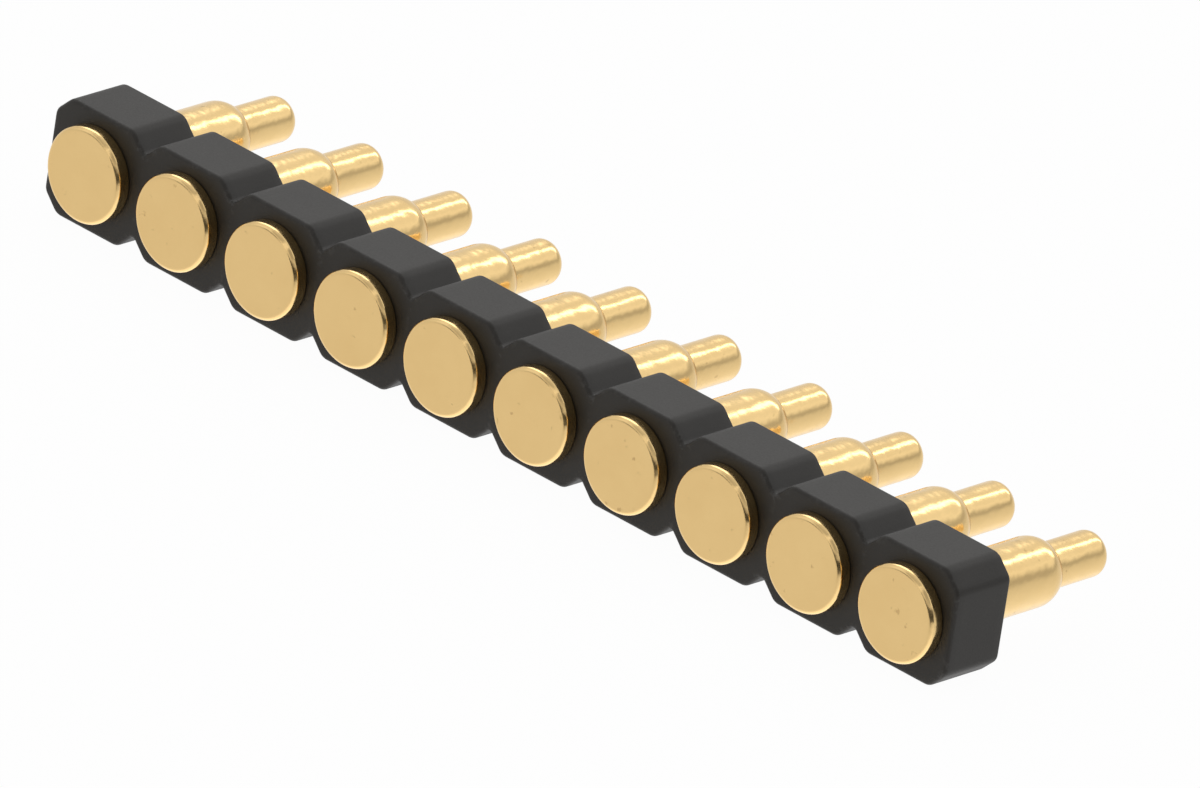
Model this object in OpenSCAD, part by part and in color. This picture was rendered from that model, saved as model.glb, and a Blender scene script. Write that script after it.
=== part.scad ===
// Single-row pin header with flat contact heads.
// One moulded break-away strip carries a row of turned pins. Each pin has a flat round head that seats
// on the front of the strip, a shank pressed through it, and a solder tail behind a rounded shoulder.
//
// Frame: X runs along the row, tails point along +Y, +Z is up. The origin is on the axis of pin 1, in
// the plane of the shoulders, which is where the surface of the circuit board lies.

/* [Row] */
// Number of pins in the row
positions = 10; // [2:1:40]
// Distance from one pin axis to the next
pitch = 2.54; // [2.3:0.01:5.08]

/* [Insulator strip] */
// Height of the strip, across the row
strip_h = 2.6; // [2:0.01:5]
// Thickness of the strip, along the pins
strip_t = 1.55; // [1:0.01:4]
// Depth of each 90 degree V notch, which is also half its width
notch_depth = 0.4; // [0.25:0.01:0.5]
// Radius of the outer corners beside each notch
corner_r = 0.3; // [0.02:0.01:0.35]
// Radius at the root of each notch
root_r = 0.1; // [0.02:0.01:0.2]
// Radius of the corners between each end face and its flanks
end_r = 0.25; // [0.02:0.01:0.35]

/* [Contact head] */
// Diameter of the flat head
head_d = 2.05; // [1.7:0.01:2.25]
// Thickness of the head
head_t = 0.34; // [0.2:0.01:0.8]
// Radius of the head's front edge
head_edge_r = 0.1; // [0.01:0.01:0.12]
// Radius of the head's back edge
head_back_r = 0.05; // [0.01:0.01:0.07]

/* [Shank] */
// Diameter of the shank
shank_d = 1.47; // [1.3:0.01:1.7]
// Length of shank between the strip's back and the board
shank_l = 2.37; // [0.8:0.01:8]
// Length over which the shank's end is rounded
shoulder_l = 0.4; // [0.1:0.01:0.75]
// How far that rounding draws in the shank's radius
shoulder_drop = 0.14; // [0.02:0.01:0.15]

/* [Press fit] */
// How far the land behind the head stands out from the shank
land_step = 0.07; // [0.02:0.01:0.1]
// Length of the land, with the cone that leads it into its seat
land_l = 0.6; // [0.2:0.01:0.9]
// Gap all round between pin and strip, and behind the land
bore_gap = 0.01; // [0.005:0.005:0.04]

/* [Solder tail] */
// Diameter of the tail
tail_d = 0.97; // [0.6:0.01:1]
// Length of the tail from shoulder to tip
tail_l = 1.52; // [0.8:0.01:4]
// Length of the domed tip
tip_l = 0.22; // [0.1:0.01:0.5]
// How far the dome draws in the tail's radius
tip_drop = 0.11; // [0.02:0.01:0.25]

/* [Hidden] */
$fn = 64;
ARC_STEPS = 6;
GOLD = "#d8b46c";
BLACK = "#2c2a2a";

strip_back_y = -shank_l;
strip_front_y = strip_back_y - strip_t;
head_front_y = strip_front_y - head_t;
strip_l = positions * pitch;
row_start_x = -pitch / 2;
cut_past = 1;

PIN_NAMES = [for (k = [1:positions]) str("contact_pin_", k)];

function pin_x(k) = (k - 1) * pitch;

// Points on an arc from one angle to another, in equal steps
function arc(centre, r, from, to) =
    [for (i = [0:ARC_STEPS]) let (a = from + (to - from) * i / ARC_STEPS) centre + r * [cos(a), sin(a)]];

// Outline of a V notch cut down from y = 0: rounded mouth, straight 45 degree flanks, rounded root
function notch_outline(depth, mouth_r, root_r) =
    let (
        mouth_x = depth + mouth_r * tan(22.5),
        root_y = -depth + root_r * sqrt(2),
        left = arc([-mouth_x, -mouth_r], mouth_r, 90, 45),
        root = arc([0, root_y], root_r, 225, 315),
        right = arc([mouth_x, -mouth_r], mouth_r, 135, 90)
    )
    concat([[-mouth_x, cut_past]], left, root, right, [[mouth_x, cut_past]]);

// Outline cut from the upper corner of the strip's end at x = 0: rounded mouth, 45 degree flank, rounded end
function end_outline(depth, mouth_r, end_r) =
    let (
        mouth_x = depth + mouth_r * tan(22.5),
        end_y = -depth - end_r * tan(22.5),
        mouth = arc([-mouth_x, -mouth_r], mouth_r, 90, 45),
        end = arc([-end_r, end_y], end_r, 45, 0)
    )
    concat([[-mouth_x, cut_past]], mouth, end, [[cut_past, end_y], [cut_past, cut_past]]);

// Lays a shape that stands on Z down along +Y, starting at y
module lay_along_y(y) {
    translate([0, y, 0])
        rotate([-90, 0, 0])
            children();
}

// Half section of a flat disc with both rims rounded: X is the radius, Y runs from the front face
module disc_section(r, t, front_r, back_r) {
    square([r - front_r, t - back_r]);
    translate([0, front_r]) {
        square([r, t - front_r - back_r]);
        square([r - back_r, t - front_r]);
    }
    translate([r - front_r, front_r])
        circle(front_r);
    translate([r - back_r, t - back_r])
        circle(back_r);
}

// Half section of a round bar of radius r and length l. Over its last crown_l an arc, tangent to the
// bar's side, draws the radius in by drop.
module crowned_section(r, l, crown_l, drop) {
    arc_r = (crown_l * crown_l + drop * drop) / (2 * drop);
    difference() {
        square([r, l]);
        translate([r - arc_r, l - crown_l])
            difference() {
                square([arc_r + cut_past, crown_l + cut_past]);
                circle(arc_r);
            }
    }
}

// Half section of the press land, or of its seat: a bar that steps out from radius r and leads back
// to it by a 45 degree cone
module land_section(r, l) {
    polygon([[0, 0], [r + land_step, 0], [r + land_step, l - land_step], [r, l], [0, l]]);
}

// Half section of a whole pin, from the face of its head (Y = 0) to the tip of its tail
module pin_section() {
    disc_section(head_d / 2, head_t, head_edge_r, head_back_r);
    translate([0, head_t]) {
        land_section(shank_d / 2, land_l);
        crowned_section(shank_d / 2, strip_t + shank_l, shoulder_l, shoulder_drop);
    }
    translate([0, head_t + strip_t + shank_l])
        crowned_section(tail_d / 2, tail_l, tip_l, tip_drop);
}

// The strip seen along the row's Y: a bar with a notch at every boundary, and half a notch at its ends
module strip_outline() {
    difference() {
        translate([row_start_x, -strip_h / 2])
            square([strip_l, strip_h]);
        for (upside = [0, 1])
            mirror([0, upside]) {
                for (k = [1:positions - 1])
                    translate([row_start_x + k * pitch, strip_h / 2])
                        polygon(notch_outline(notch_depth, corner_r, root_r));
                translate([row_start_x + strip_l, strip_h / 2])
                    polygon(end_outline(notch_depth, corner_r, end_r));
                translate([row_start_x, strip_h / 2])
                    mirror([1, 0])
                        polygon(end_outline(notch_depth, corner_r, end_r));
            }
    }
}

// Stepped hole for one pin: the shank's way through, and the seat of the press land at the front
module pin_hole() {
    lay_along_y(strip_front_y - cut_past)
        cylinder(d = shank_d + 2 * bore_gap, h = strip_t + 2 * cut_past);
    lay_along_y(strip_front_y)
        rotate_extrude()
            land_section(shank_d / 2 + bore_gap, land_l + bore_gap);
}

// The moulded break-away strip
module insulator() {
    color(BLACK)
        difference() {
            translate([0, strip_back_y, 0])
                rotate([90, 0, 0])
                    linear_extrude(strip_t)
                        strip_outline();
            for (k = [1:positions])
                translate([pin_x(k), 0, 0])
                    pin_hole();
        }
}

// One turned pin, in the k-th place of the row
module contact_pin(k) {
    color(GOLD)
        translate([pin_x(k), 0, 0])
            lay_along_y(head_front_y)
                rotate_extrude()
                    pin_section();
}

insulator();
for (k = [1:positions])
    contact_pin(k);
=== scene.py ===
import math

import bpy
import numpy as np
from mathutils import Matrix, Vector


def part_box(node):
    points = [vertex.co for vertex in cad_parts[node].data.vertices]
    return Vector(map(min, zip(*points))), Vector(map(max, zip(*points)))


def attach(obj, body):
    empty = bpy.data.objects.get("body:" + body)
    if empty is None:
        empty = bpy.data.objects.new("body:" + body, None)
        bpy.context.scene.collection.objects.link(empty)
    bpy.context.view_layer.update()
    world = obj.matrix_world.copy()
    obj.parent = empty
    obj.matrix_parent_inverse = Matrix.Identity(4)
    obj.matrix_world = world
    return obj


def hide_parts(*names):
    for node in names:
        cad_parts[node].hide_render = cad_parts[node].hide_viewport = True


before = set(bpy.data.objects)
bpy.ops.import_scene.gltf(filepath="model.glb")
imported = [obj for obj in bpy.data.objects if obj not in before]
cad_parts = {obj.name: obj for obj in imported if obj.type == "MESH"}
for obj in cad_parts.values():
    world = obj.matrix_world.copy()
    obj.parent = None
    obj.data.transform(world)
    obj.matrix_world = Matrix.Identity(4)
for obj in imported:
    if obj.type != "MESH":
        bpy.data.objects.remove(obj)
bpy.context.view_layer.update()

# The insulator strip.
# One black glass-filled moulding, made in long break-away lengths. V notches part the positions, and each
# position has a stepped hole that its pin is pressed into from the front. All outer edges are softly rounded.
MM = 0.001
NOTCH_DEPTH = 0.40
NOTCH_MOUTH_R = 0.30
NOTCH_ROOT_R = 0.10
END_CORNER_R = 0.25
CORNER_START = math.tan(math.pi / 8)
EDGE_R = 0.08
HOLE_R = 0.745
SEAT_R = 0.815
SEAT_L = 0.61
ARC_STEPS = 6
STRAIGHT_STEPS = 6
WALL_STEPS = 8
FACE_SHARES = np.array([0.3, 0.6, 0.85])
WELD_DIGITS = 5
SMOOTH_ANGLE = 35
BLACK_DEEP = (0.0118, 0.0098, 0.0074, 1)
BLACK_PALE = (0.0190, 0.0160, 0.0124, 1)
BLACK_RUBBED = (0.060, 0.058, 0.056, 1)
BLACK_ROUGHNESS = (0.44, 0.60)
GRAIN_STRENGTH = 0.35
GRAIN_DEPTH = 0.006
RUB_NOISE = (0.50, 0.72)
RUB_SHARE = 0.35
NOTCH_RUB = 2.0
NOTCH_RUB_R = 0.30

scene = bpy.context.scene
pin_count = sum(name.startswith("contact_pin_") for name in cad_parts)
pin_names = [f"contact_pin_{k + 1}" for k in range(pin_count)]
pin_boxes = [np.array(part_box(name)) / MM for name in pin_names]
pin_axis_x = np.array([box[:, 0].mean() for box in pin_boxes])
strip_low, strip_high = np.array(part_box("insulator")) / MM
half_pitch = (pin_axis_x[1] - pin_axis_x[0]) / 2
half_height = (strip_high[2] - strip_low[2]) / 2
front_y, back_y = strip_low[1], strip_high[1]


def arc(centre, radius, start, end, steps=ARC_STEPS):
    """Centre plus radius times (cosine, sine) of angles in equal steps, for one radius or a column of them."""
    angles = np.radians(np.linspace(start, end, steps + 1))
    return np.asarray(centre) + np.multiply.outer(radius, np.stack([np.cos(angles), np.sin(angles)], 1))


def line(start, end, steps=STRAIGHT_STEPS):
    """Points in equal steps from start to end, for one pair of ends or a column of them."""
    share = np.linspace(0, 1, steps + 1)[:, None]
    start, end = np.asarray(start)[..., None, :], np.asarray(end)[..., None, :]
    return start + (end - start) * share


def quarter_outline(inset, at_end):
    """A quarter of one position's outline, drawn inwards by each inset, from the middle of its side to the
    middle of its top. Between positions the side is the line they share, and the outline rounds the notch's
    root. At the strip's end it is a real face, and a small convex corner meets the flank. Then come the 45
    degree flank, the rounded mouth and the top. Each rounding of 45 degrees starts its radius times the
    tangent of 22.5 degrees before the sharp corner. Returns the points, and which lie on a shared side."""
    mouth_centre = (half_pitch - NOTCH_DEPTH - NOTCH_MOUTH_R * CORNER_START, half_height - NOTCH_MOUTH_R)
    if at_end:
        end_z = half_height - NOTCH_DEPTH - END_CORNER_R * CORNER_START
        corner = arc((half_pitch - END_CORNER_R, end_z), END_CORNER_R - inset, 0, 45)
    else:
        root_z = half_height - NOTCH_DEPTH + NOTCH_ROOT_R * math.sqrt(2)
        corner = arc((half_pitch, root_z), NOTCH_ROOT_R + inset, 270, 225)
    side = line(corner[:, 0] * (1, 0), corner[:, 0])
    mouth = arc(mouth_centre, NOTCH_MOUTH_R - inset, 45, 90)
    flank = line(corner[:, -1], mouth[:, 0])
    top = line(mouth[:, -1], mouth[:, -1] * (0, 1))
    points = np.concatenate([side, corner[:, 1:], flank[:, 1:], mouth[:, 1:], top[:, 1:]], 1)
    shared = np.arange(points.shape[1]) < (0 if at_end else side.shape[1])
    return points, shared


def whole_outline(inset, left_end, right_end):
    """Four quarters, mirrored and joined into one loop that runs counter-clockwise from the right side. Returns
    its points, and which of its steps run along a shared side."""
    right, right_shared = quarter_outline(inset, right_end)
    left, left_shared = quarter_outline(inset, left_end)
    quarters = [right, left[:, ::-1] * (-1, 1), left * (-1, -1), right[:, ::-1] * (1, -1)]
    flags = [right_shared, left_shared[::-1], left_shared, right_shared[::-1]]
    loop = np.concatenate([quarter[:, :-1] for quarter in quarters], 1)
    shared = np.concatenate([flag[:-1] & flag[1:] for flag in flags])
    return loop, shared


def grid_quads(rows, columns, close_rows, close_columns):
    """Corner numbers of every quad in a grid of points that is stored row by row, as (row, column, corner)."""
    next_row = np.arange(1, rows + 1) % rows
    next_column = np.arange(1, columns + 1) % columns
    row, column = np.meshgrid(np.arange(rows), np.arange(columns), indexing="ij")
    quads = np.stack([row * columns + column, row * columns + next_column[column],
                      next_row[row] * columns + next_column[column], next_row[row] * columns + column], 2)
    return quads[: rows if close_rows else rows - 1, : columns if close_columns else columns - 1]


def new_object(name, data):
    """An object with this data, put into the scene at its origin."""
    added = bpy.data.objects.new(name, data)
    scene.collection.objects.link(added)
    return added


def welded_mesh(name, points, quads, attributes):
    """A smooth mesh from points in millimetres: points that are equal to a hundredth of a micron become one,
    and a quad that loses a side this way becomes a triangle. Attributes are one number for each point."""
    _, first, place = np.unique(np.round(points, WELD_DIGITS), axis=0, return_index=True, return_inverse=True)
    quads = place.reshape(-1)[quads.reshape(-1, 4)]
    kept = quads != np.roll(quads, -1, axis=1)
    three = kept.sum(1) == 3
    triangles = quads[three][kept[three]].reshape(-1, 3)
    mesh = bpy.data.meshes.new(name)
    mesh.from_pydata((points[first] * MM).tolist(), [], quads[kept.all(1)].tolist() + triangles.tolist())
    for key, values in attributes.items():
        layer = mesh.attributes.new(key, "FLOAT", "POINT")
        layer.data.foreach_set("value", values[first].astype(np.float32))
    mesh.polygons.foreach_set("use_smooth", np.ones(len(mesh.polygons), bool))
    mesh.set_sharp_from_angle(angle=math.radians(SMOOTH_ANGLE))
    mesh.validate()
    return new_object(name, mesh)


def strip_position(centre_x, left_end, right_end):
    """One position of the strip as a closed section carried round its pin: down the stepped hole, out along
    the back face, round the back edge, along the outer wall, round the front edge and in along the front
    face. The section's points are hole radii, shares of the way from hole to outline, or insets of it. The rub
    is 1 on the rounded edges, and more by a bell curve of the distance from a notch's root."""
    hole = np.array([(SEAT_R, front_y), (SEAT_R, front_y + SEAT_L - (SEAT_R - HOLE_R)),
                     (HOLE_R, front_y + SEAT_L), (HOLE_R, back_y)])
    edge = arc((EDGE_R, EDGE_R), EDGE_R, 270, 180)
    wall = line((0, EDGE_R), (0, back_y - front_y - EDGE_R), WALL_STEPS)[1:-1]
    inset = np.concatenate([edge[:, 0], wall[:, 0], edge[::-1, 0]])
    wall_y = back_y - np.concatenate([edge[:, 1], wall[:, 1], back_y - front_y - edge[::-1, 1]])

    walls, shared = whole_outline(inset, left_end, right_end)
    rim = walls[0]
    angle = np.arctan2(rim[:, 1], rim[:, 0])
    holes = np.multiply.outer(hole[:, 0], np.stack([np.cos(angle), np.sin(angle)], 1))
    backs = holes[-1] + np.multiply.outer(FACE_SHARES, rim - holes[-1])
    fronts = holes[0] + np.multiply.outer(FACE_SHARES[::-1], rim - holes[0])
    flat = np.concatenate([holes, backs, walls, fronts])
    y = np.concatenate([hole[:, 1], np.full(len(backs), back_y), wall_y, np.full(len(fronts), front_y)])
    every_y = np.broadcast_to(y[:, None], flat.shape[:2])
    points = np.stack([flat[..., 0] + centre_x, every_y, flat[..., 1]], 2)

    wall_start = len(holes) + len(backs)
    wall_end = wall_start + len(walls)
    open_rows = np.zeros(len(flat), bool)
    open_rows[wall_start: wall_end - 1] = True
    quads = grid_quads(*flat.shape[:2], True, True)[~np.outer(open_rows, shared)]
    from_root = np.hypot(half_pitch - np.abs(rim[:, 0]), half_height - NOTCH_DEPTH - np.abs(rim[:, 1]))
    rub = np.zeros(flat.shape[:2])
    rub[wall_start: wall_end] = np.outer(inset > 0, 1 + NOTCH_RUB * np.exp(-(from_root / NOTCH_RUB_R) ** 2))
    return points.reshape(-1, 3), quads, rub.reshape(-1)


def insulator_piece():
    """All positions side by side, with the points of their shared sides welded into one closed body."""
    positions = [strip_position(x, k == 0, k == pin_count - 1) for k, x in enumerate(pin_axis_x)]
    points, quads, rub = zip(*positions)
    starts = np.cumsum([0] + [len(part) for part in points[:-1]])
    quads = np.concatenate([part + start for part, start in zip(quads, starts)])
    return welded_mesh("moulded_strip", np.concatenate(points), quads[:, ::-1], {"rub": np.concatenate(rub)})


def feed(tree, socket, source):
    """Links another node's output to an input socket, or sets a constant on it."""
    if isinstance(source, bpy.types.NodeSocket):
        tree.links.new(source, socket)
    else:
        socket.default_value = source


def new_node(tree, kind, **settings):
    """A node of the given kind. Settings name its properties, or its inputs in lower case, which they feed."""
    node = tree.nodes.new(kind)
    for key, value in settings.items():
        inputs = {socket.name.lower().replace(" ", "_"): socket for socket in node.inputs
                  if not socket.is_unavailable}
        if key in inputs:
            feed(tree, inputs[key], value)
        else:
            setattr(node, key, value)
    return node


def noise(tree, place, scale, detail, roughness):
    """Noise by place in millimetres, so its scale is a number of features to the millimetre."""
    node = new_node(tree, "ShaderNodeTexNoise", vector=place, scale=scale, detail=detail, roughness=roughness)
    return node.outputs["Fac"]


def ranged(tree, value, start, end, low=0.0, high=1.0, curve="LINEAR"):
    """Low where the value is at start, high where it is at end, and held there beyond them."""
    node = new_node(tree, "ShaderNodeMapRange", interpolation_type=curve, value=value,
                    from_min=start, from_max=end, to_min=low, to_max=high)
    return node.outputs["Result"]


def computed(tree, operation, *terms):
    """The result of one operation on its terms, each a constant or another node's output."""
    node = new_node(tree, "ShaderNodeMath", operation=operation)
    for socket, term in zip(node.inputs, terms):
        feed(tree, socket, term)
    return node.outputs["Value"]


def mixed(tree, share, first, second, blend="MIX"):
    """The first colour, and by the given share the second one blended into it."""
    node = new_node(tree, "ShaderNodeMix", data_type="RGBA", blend_type=blend, factor=share, a=first, b=second)
    return node.outputs["Result"]


def bumped(tree, height, strength, depth, below=None):
    """The normal of a relief of this depth in millimetres, on top of the normal below it."""
    node = new_node(tree, "ShaderNodeBump", height=height, strength=strength, distance=depth * MM)
    if below is not None:
        feed(tree, node.inputs["Normal"], below)
    return node.outputs["Normal"]


def attribute(tree, name):
    """A number that the piece's mesh keeps for each of its points."""
    return new_node(tree, "ShaderNodeAttribute", attribute_name=name).outputs["Fac"]


def new_material(name):
    """An empty node material with its shader and a coordinate in millimetres of the object's own frame."""
    material = bpy.data.materials.new(name)
    material.use_nodes = True
    tree = material.node_tree
    place = new_node(tree, "ShaderNodeTexCoord").outputs["Object"]
    to_mm = new_node(tree, "ShaderNodeMapping", vector=place, scale=(1 / MM,) * 3)
    return material, tree, tree.nodes["Principled BSDF"], to_mm.outputs["Vector"]


def black_moulding():
    """Matte black plastic: a fine moulded grain in bump and roughness, slow changes of tone, and a paler rub
    along the rounded edges and in the notch roots, broken up by noise."""
    material, tree, shader, place = new_material("black_moulding")
    tone = noise(tree, place, scale=1.4, detail=3.0, roughness=0.6)
    grain = noise(tree, place, scale=24.0, detail=3.0, roughness=0.6)
    specks = noise(tree, place, scale=7.0, detail=4.0, roughness=0.7)
    broken = ranged(tree, specks, *RUB_NOISE, high=RUB_SHARE)
    rubbed = computed(tree, "MULTIPLY", attribute(tree, "rub"), broken)
    colour = mixed(tree, rubbed, mixed(tree, tone, BLACK_DEEP, BLACK_PALE), BLACK_RUBBED)
    feed(tree, shader.inputs["Base Color"], colour)
    feed(tree, shader.inputs["Roughness"], ranged(tree, grain, 0.0, 1.0, *BLACK_ROUGHNESS))
    feed(tree, shader.inputs["Normal"], bumped(tree, grain, GRAIN_STRENGTH, GRAIN_DEPTH))
    return material


insulator = insulator_piece()
insulator.data.materials.append(black_moulding())
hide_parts("insulator")
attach(insulator, "root")

# The contact pins.
# Each is turned from one brass rod and gold plated: a flat round head that a sprung plunger presses on, a
# land that is pressed into the strip, a thick shank, and behind its rounded shoulder a domed solder tail.
HEAD_R = 1.025
HEAD_FRONT_R = 0.10
HEAD_BACK_R = 0.05
LAND_R = 0.805
LAND_L = 0.60
SHANK_R = 0.735
SHOULDER_Y = 0.0
SHOULDER_L = 0.40
SHOULDER_DROP = 0.14
TAIL_R = 0.485
TIP_L = 0.22
TIP_DROP = 0.11
PIP_R = 0.05
PIP_FOOT_R = 0.08
GUARD = 0.02
PIP_STEPS = 8
FACE_STEPS = 12
FRONT_RIM_STEPS = 10
SIDE_STEPS = 4
BACK_RIM_STEPS = 8
SHANK_STEPS = 12
TAIL_STEPS = 8
CROWN_STEPS = 12
TURN_STEPS = 128
GOLD_DEEP = (0.89, 0.62, 0.275, 1)
GOLD_PALE = (0.97, 0.70, 0.325, 1)
# A darker, browner gold, for the small spots and for the painted shade along the shoulder's edge.
GOLD_SPOTS_AND_SHADE = (0.38, 0.23, 0.09, 1)
GOLD_ROUGHNESS = (0.15, 0.24)
SPOT_NOISE = (0.70, 0.78)
SPOT_SHARE = 0.40
# The line of painted shade round the shoulder's edge: how far from the edge it reaches, its fade, its share of
# the browner gold, and how much rougher it is.
EDGE_SHADE_LINE = 0.07
EDGE_SHADE_FADE = 0.02
EDGE_SHADE_SHARE = 0.5
EDGE_ROUGHNESS = 0.40
RING_STRENGTH = 0.12
RING_DEPTH = 0.003
PIP_STRENGTH = 0.30
PIP_DEPTH = 0.004
FACE_WAVES = 0.10
SIDE_WAVES = 0.60
WAVE_DEPTH = 0.030


def crown(radius, end, length, drop):
    """An arc that leaves a bar's side tangent to it and draws its radius in by drop over its last length. The
    arc's radius is (length squared plus drop squared) over twice the drop."""
    arc_r = (length ** 2 + drop ** 2) / (2 * drop)
    sweep = math.degrees(math.asin(length / arc_r))
    return arc((radius - arc_r, end - length), arc_r, 0, sweep, CROWN_STEPS)


def pin_profile(face, seat, tip):
    """Half section of a pin as (radius, place along Y), from the middle of its face to the end of its tail. A
    guard point on each side of a corner keeps the shading of the flats flat."""
    front_rim = arc((HEAD_R - HEAD_FRONT_R, face + HEAD_FRONT_R), HEAD_FRONT_R, -90, 0, FRONT_RIM_STEPS)
    back_rim = arc((HEAD_R - HEAD_BACK_R, seat - HEAD_BACK_R), HEAD_BACK_R, 0, 90, BACK_RIM_STEPS)
    land_end = seat + LAND_L
    shank_end = crown(SHANK_R, SHOULDER_Y, SHOULDER_L, SHOULDER_DROP)
    tail_end = crown(TAIL_R, tip, TIP_L, TIP_DROP)
    return np.concatenate([
        line((0, face), (2 * PIP_R, face), PIP_STEPS),
        line((3 * PIP_R, face), (HEAD_R - HEAD_FRONT_R - GUARD, face), FACE_STEPS),
        front_rim,
        line(front_rim[-1], back_rim[0], SIDE_STEPS)[1:-1],
        back_rim,
        [(LAND_R, seat), (LAND_R, land_end - (LAND_R - SHANK_R)), (SHANK_R, land_end)],
        line((SHANK_R, land_end + GUARD), shank_end[0], SHANK_STEPS)[:-1],
        shank_end,
        [(shank_end[-1, 0] - GUARD / 2, SHOULDER_Y), (TAIL_R + GUARD / 2, SHOULDER_Y), (TAIL_R, SHOULDER_Y)],
        line((TAIL_R, SHOULDER_Y + GUARD), tail_end[0], TAIL_STEPS)[:-1],
        tail_end,
        [(tail_end[-1, 0] - GUARD / 2, tip), (0, tip)]])


profile = pin_profile(pin_boxes[0][0, 1], front_y, pin_boxes[0][1, 1])
along = np.concatenate([[0], np.cumsum(np.linalg.norm(np.diff(profile, axis=0), axis=1))])
shoulder_edge = (SHANK_R - SHOULDER_DROP, SHOULDER_Y)
edge_along = along[np.linalg.norm(profile - shoulder_edge, axis=1).argmin()]


def pin_piece(name, axis_x):
    """The half section carried round the pin's axis: X and Z are the radius times the cosine and the sine of
    the turn. Each point keeps its distance along the section."""
    turn = np.linspace(0, 2 * np.pi, TURN_STEPS, endpoint=False)
    radius, y = profile[:, :1], profile[:, 1:]
    every_y = np.broadcast_to(y, (len(profile), TURN_STEPS))
    points = np.stack([axis_x + radius * np.cos(turn), every_y, radius * np.sin(turn)], 2)
    quads = grid_quads(len(profile), TURN_STEPS, False, True).reshape(-1, 4)
    lathe = np.repeat(along, TURN_STEPS)
    return welded_mesh(f"turned_{name}", points.reshape(-1, 3), quads[:, ::-1], {"lathe": lathe})


def gold_plate():
    """Gold plate on turned brass: fine rings left by the tool, a faint pip at the middle of the head, shallow
    waves that make the reflections waver and are weaker on the face, a satin sheen that changes slowly, a few
    small spots of a darker, browner gold, and a darker, rougher line of painted shade along the shoulder's
    edge."""
    material, tree, shader, place = new_material("gold_plate")
    cloud = noise(tree, place, scale=1.1, detail=3.0, roughness=0.55)
    spots = noise(tree, place, scale=5.0, detail=2.0, roughness=0.5)
    waves = noise(tree, place, scale=2.6, detail=2.0, roughness=0.5)
    lathe = attribute(tree, "lathe")
    rings = new_node(tree, "ShaderNodeTexNoise", noise_dimensions="1D", w=lathe,
                     scale=22.0, detail=3.0, roughness=0.6).outputs["Fac"]

    # Painted shade: a band round the edge of the shoulder, where the crown meets the tail, turns to the browner
    # gold and is rougher.
    from_edge = computed(tree, "ABSOLUTE", computed(tree, "SUBTRACT", lathe, edge_along))
    edge_shade = ranged(tree, from_edge, EDGE_SHADE_LINE + EDGE_SHADE_FADE, EDGE_SHADE_LINE - EDGE_SHADE_FADE, high=EDGE_SHADE_SHARE)
    spots_and_edge_shade = computed(tree, "MAXIMUM", ranged(tree, spots, *SPOT_NOISE, high=SPOT_SHARE), edge_shade)
    colour = mixed(tree, spots_and_edge_shade, mixed(tree, cloud, GOLD_DEEP, GOLD_PALE), GOLD_SPOTS_AND_SHADE)
    sheen = ranged(tree, cloud, 0.0, 1.0, *GOLD_ROUGHNESS)
    roughness = computed(tree, "MULTIPLY_ADD", edge_shade, EDGE_ROUGHNESS, sheen)

    pip = ranged(tree, lathe, PIP_FOOT_R, PIP_R, curve="SMOOTHSTEP")
    wave_strength = ranged(tree, lathe, HEAD_R - HEAD_FRONT_R, HEAD_R, FACE_WAVES, SIDE_WAVES)
    ringed = bumped(tree, rings, RING_STRENGTH, RING_DEPTH)
    pipped = bumped(tree, pip, PIP_STRENGTH, PIP_DEPTH, ringed)
    waved = bumped(tree, waves, wave_strength, WAVE_DEPTH, pipped)
    feed(tree, shader.inputs["Metallic"], 1.0)
    feed(tree, shader.inputs["Base Color"], colour)
    feed(tree, shader.inputs["Roughness"], roughness)
    feed(tree, shader.inputs["Normal"], waved)
    return material


gold = gold_plate()
for name, axis_x in zip(pin_names, pin_axis_x):
    pin = pin_piece(name, axis_x)
    pin.data.materials.append(gold)
    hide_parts(name)
    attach(pin, "root")

# The floor.
# A large sheet of white paper that the strip stands on. It is lit so brightly that it shows as white, with
# only a trace of the strip's shadow on it.
FLOOR_HALF = 3000 * MM
PAPER = (0.80, 0.80, 0.80, 1)
GLOW_SHARE = 0.97

floor_z = strip_low[2] * MM
floor_corners = np.array([(-1, -1, 0), (1, -1, 0), (1, 1, 0), (-1, 1, 0)]) * FLOOR_HALF + (0, 0, floor_z)
floor_mesh = bpy.data.meshes.new("floor")
floor_mesh.from_pydata(floor_corners.tolist(), [], [(0, 1, 2, 3)])
floor = new_object("floor", floor_mesh)


def shader_mix(tree, share, first, second):
    """The first shader, and by the given share the second one instead of it."""
    node = new_node(tree, "ShaderNodeMixShader")
    for socket, source in zip(node.inputs, (share, first, second)):
        feed(tree, socket, source)
    return node.outputs["Shader"]


def white_floor():
    """White paper. The camera sees it almost at full white, with a little of its own shade, so the object keeps
    a faint shadow. Reflections pass through it, and see the pale ground of the surround instead."""
    material = bpy.data.materials.new("white_floor")
    material.use_nodes = True
    tree = material.node_tree
    tree.nodes.remove(tree.nodes["Principled BSDF"])
    paper = new_node(tree, "ShaderNodeBsdfDiffuse", color=PAPER).outputs["BSDF"]
    glow = new_node(tree, "ShaderNodeEmission", strength=1.0).outputs["Emission"]
    clear = new_node(tree, "ShaderNodeBsdfTransparent").outputs["BSDF"]
    path = new_node(tree, "ShaderNodeLightPath").outputs
    seen = computed(tree, "MAXIMUM", path["Is Camera Ray"], path["Is Transmission Ray"])
    lit = shader_mix(tree, computed(tree, "MULTIPLY", seen, GLOW_SHARE), paper, glow)
    surface = shader_mix(tree, path["Is Glossy Ray"], lit, clear)
    feed(tree, tree.nodes["Material Output"].inputs["Surface"], surface)
    return material


floor_mesh.materials.append(white_floor())

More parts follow.
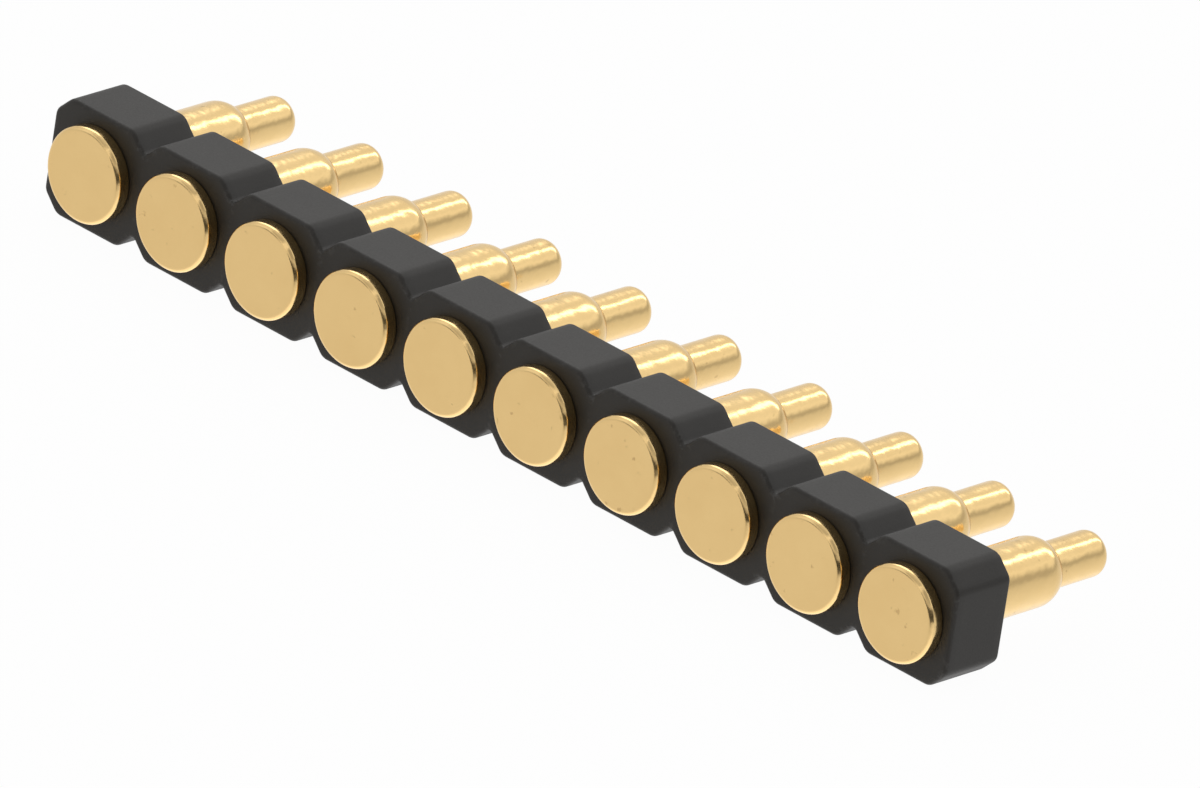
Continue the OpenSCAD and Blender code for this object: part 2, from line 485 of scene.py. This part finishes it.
# The surround.
# A pale room that only the metal and the plastic see: a bright ground, a sky that differs from left to right,
# and in front the dark end of the room, which draws the dark lines on the rims of the heads.
WHITE = (1, 1, 1, 1)
LEFT_LEVELS = [(-1.00, 1.40), (-0.80, 1.25), (-0.66, 1.00), (-0.41, 0.92), (-0.05, 0.82), (0.20, 0.76),
               (0.42, 0.76), (0.56, 0.84), (0.74, 0.86), (0.86, 0.70), (1.00, 0.64)]
RIGHT_LEVELS = [(-1.00, 1.40), (-0.80, 1.25), (-0.66, 0.98), (-0.50, 0.90), (-0.30, 0.83), (-0.05, 0.75),
                (0.06, 0.66), (0.14, 0.50), (0.26, 0.48), (0.36, 0.76), (0.48, 1.04), (0.58, 0.88),
                (0.74, 0.90), (0.92, 0.76), (1.00, 0.70)]
SIDE_FADE = (-0.25, 0.25)
FRONT_GROUND = [(-1.00, 1.40), (-0.80, 1.25), (-0.66, 1.00), (-0.43, 0.92)]
FRONT_DARK_RIGHT = [(-0.36, 0.82), (-0.29, 0.05), (0.00, 0.04)]
FRONT_DARK_MIDDLE = [(-0.21, 0.86), (-0.14, 0.05), (0.00, 0.04)]
FRONT_SKY = [(0.09, 0.62), (0.22, 0.78), (0.40, 0.48), (0.80, 0.42), (0.92, 0.52), (1.00, 0.60)]
MIDDLE_FADE = (0.05, 0.15)
FRONT_WAY = (0.519, -0.830, 0.207)
FRONT_FADE = (0.30, 0.40)
FRONT_TILT = 0.30
GAP_WAY = (-0.819, 0, 0.574)
GAP_PLACE = 0.247
GAP_HALF = 0.07
GAP_LEVEL = 1.15
FRONT_SHADE = (0.78, 0.757, 0.722, 1)
SHADE_FADE = (0.30, -1.00)
LIGHTS = [((-0.560, 0.360, 0.746), 2.1), ((-0.720, -0.580, 0.380), 0.76)]
LIGHT_FADE = (0.92, 0.96)


def grey(level):
    """A grey of this level as a colour."""
    return (level, level, level, 1)


def level_ramp(tree, z, levels):
    """Grey by height: straight steps between the levels, each given for the Z of a direction."""
    ramp = new_node(tree, "ShaderNodeValToRGB", fac=ranged(tree, z, -1.0, 1.0))
    stops = ramp.color_ramp.elements
    for place, _ in levels[1:-1]:
        stops.new((place + 1) / 2)
    for stop, (_, level) in zip(stops, levels):
        stop.color = grey(level)
    return ramp.outputs["Color"]


def nearness(tree, way, direction):
    """The dot product of a way with a fixed direction: 1 is straight along it, 0 is across it."""
    node = new_node(tree, "ShaderNodeVectorMath", operation="DOT_PRODUCT")
    for socket, source in zip(node.inputs, (way, direction)):
        feed(tree, socket, source)
    return node.outputs["Value"]


def pale_surround():
    """A world that the camera sees as white. All other rays see a grey by their direction. Left and right each
    have a bright ground and a pale sky, with a darker line above the horizon at the right. The dark end of the
    room lies in front. It rises to the right, because the tilt times X is taken from the height there, and
    it reaches less far down straight ahead. It has a bright gap in it and a dim sky above. A warm shade
    deepens towards the front, and two round soft lights come on top of all this."""
    world = bpy.data.worlds.new("pale_surround")
    world.use_nodes = True
    tree = world.node_tree
    tree.nodes.clear()
    way = new_node(tree, "ShaderNodeTexCoord").outputs["Generated"]
    x, y, z = new_node(tree, "ShaderNodeSeparateXYZ", vector=way).outputs
    sides = mixed(tree, ranged(tree, x, *SIDE_FADE), level_ramp(tree, z, LEFT_LEVELS),
                  level_ramp(tree, z, RIGHT_LEVELS))

    tilted_z = computed(tree, "MULTIPLY_ADD", computed(tree, "MAXIMUM", x, 0.0), -FRONT_TILT, z)
    dark_end = mixed(tree, ranged(tree, x, *MIDDLE_FADE),
                     level_ramp(tree, tilted_z, FRONT_GROUND + FRONT_DARK_MIDDLE + FRONT_SKY),
                     level_ramp(tree, tilted_z, FRONT_GROUND + FRONT_DARK_RIGHT + FRONT_SKY))
    in_gap = computed(tree, "COMPARE", nearness(tree, way, GAP_WAY), GAP_PLACE, GAP_HALF)
    front = mixed(tree, in_gap, dark_end, grey(GAP_LEVEL))
    room = mixed(tree, ranged(tree, nearness(tree, way, FRONT_WAY), *FRONT_FADE), sides, front)
    room = mixed(tree, ranged(tree, y, *SHADE_FADE), room, FRONT_SHADE, "MULTIPLY")
    for light_way, level in LIGHTS:
        room = mixed(tree, ranged(tree, nearness(tree, way, light_way), *LIGHT_FADE), room, grey(level))

    surround = new_node(tree, "ShaderNodeBackground", color=room, strength=1.0).outputs["Background"]
    white = new_node(tree, "ShaderNodeBackground", color=WHITE, strength=1.0).outputs["Background"]
    from_camera = new_node(tree, "ShaderNodeLightPath").outputs["Is Camera Ray"]
    new_node(tree, "ShaderNodeOutputWorld", surface=shader_mix(tree, from_camera, surround, white))
    return world


scene.world = pale_surround()
scene.view_settings.view_transform = "Standard"

# The camera.
# A long lens a good way off, a little above the row and to its right, and turned on its own axis, as the row
# in the photograph slopes. The image is 1200 by 788 pixels.
AIM = np.array([12.953, -2.495, 0.207]) * MM
CAMERA_AZIMUTH = 40.51
CAMERA_ELEVATION = 24.47
CAMERA_ROLL = 8.81
CAMERA_DISTANCE = 600 * MM
CLIP_START = 10 * MM
CLIP_END = 20000 * MM
PIXELS_PER_MM = 50.15
IMAGE_WIDTH = 1200
SENSOR_WIDTH = 36.0


def facing_aim(azimuth, elevation, distance, roll=0.0):
    """The matrix of something that faces the aim from this azimuth, elevation and distance. Azimuth 0 is in
    front. Its right and up axes start level and upright, and are turned by roll about the line of sight."""
    a, e, r = np.radians([azimuth, elevation, roll])
    back = np.array([math.sin(a) * math.cos(e), -math.cos(a) * math.cos(e), math.sin(e)])
    level = np.array([math.cos(a), math.sin(a), 0.0])
    upright = np.cross(back, level)
    right = math.cos(r) * level + math.sin(r) * upright
    up = math.cos(r) * upright - math.sin(r) * level
    matrix = np.eye(4)
    matrix[:3] = np.stack([right, up, back, AIM + distance * back], 1)
    return matrix.T.tolist()


camera_data = bpy.data.cameras.new("camera")
camera_data.sensor_width = SENSOR_WIDTH
camera_data.lens = SENSOR_WIDTH * CAMERA_DISTANCE / MM * PIXELS_PER_MM / IMAGE_WIDTH
camera_data.clip_start = CLIP_START
camera_data.clip_end = CLIP_END
camera = new_object("camera", camera_data)
camera.matrix_world = facing_aim(CAMERA_AZIMUTH, CAMERA_ELEVATION, CAMERA_DISTANCE, CAMERA_ROLL)
scene.camera = camera


# The lamps.
# A tall narrow lamp behind and above the row draws the bright lines along the pins. A wide one in front, a
# little to the left, fills in the faces that the camera sees.
def soft_lamp(name, azimuth, elevation, distance, width, height, power):
    """A rectangular lamp that faces the camera's aim."""
    lamp = bpy.data.lights.new(name, "AREA")
    lamp.shape = "RECTANGLE"
    lamp.size = width
    lamp.size_y = height
    lamp.energy = power
    new_object(name, lamp).matrix_world = facing_aim(azimuth, elevation, distance)


soft_lamp("lamp_above", azimuth=175, elevation=36, distance=400 * MM,
          width=62 * MM, height=200 * MM, power=0.10)
soft_lamp("lamp_front", azimuth=-20, elevation=40, distance=600 * MM,
          width=800 * MM, height=800 * MM, power=0.28)
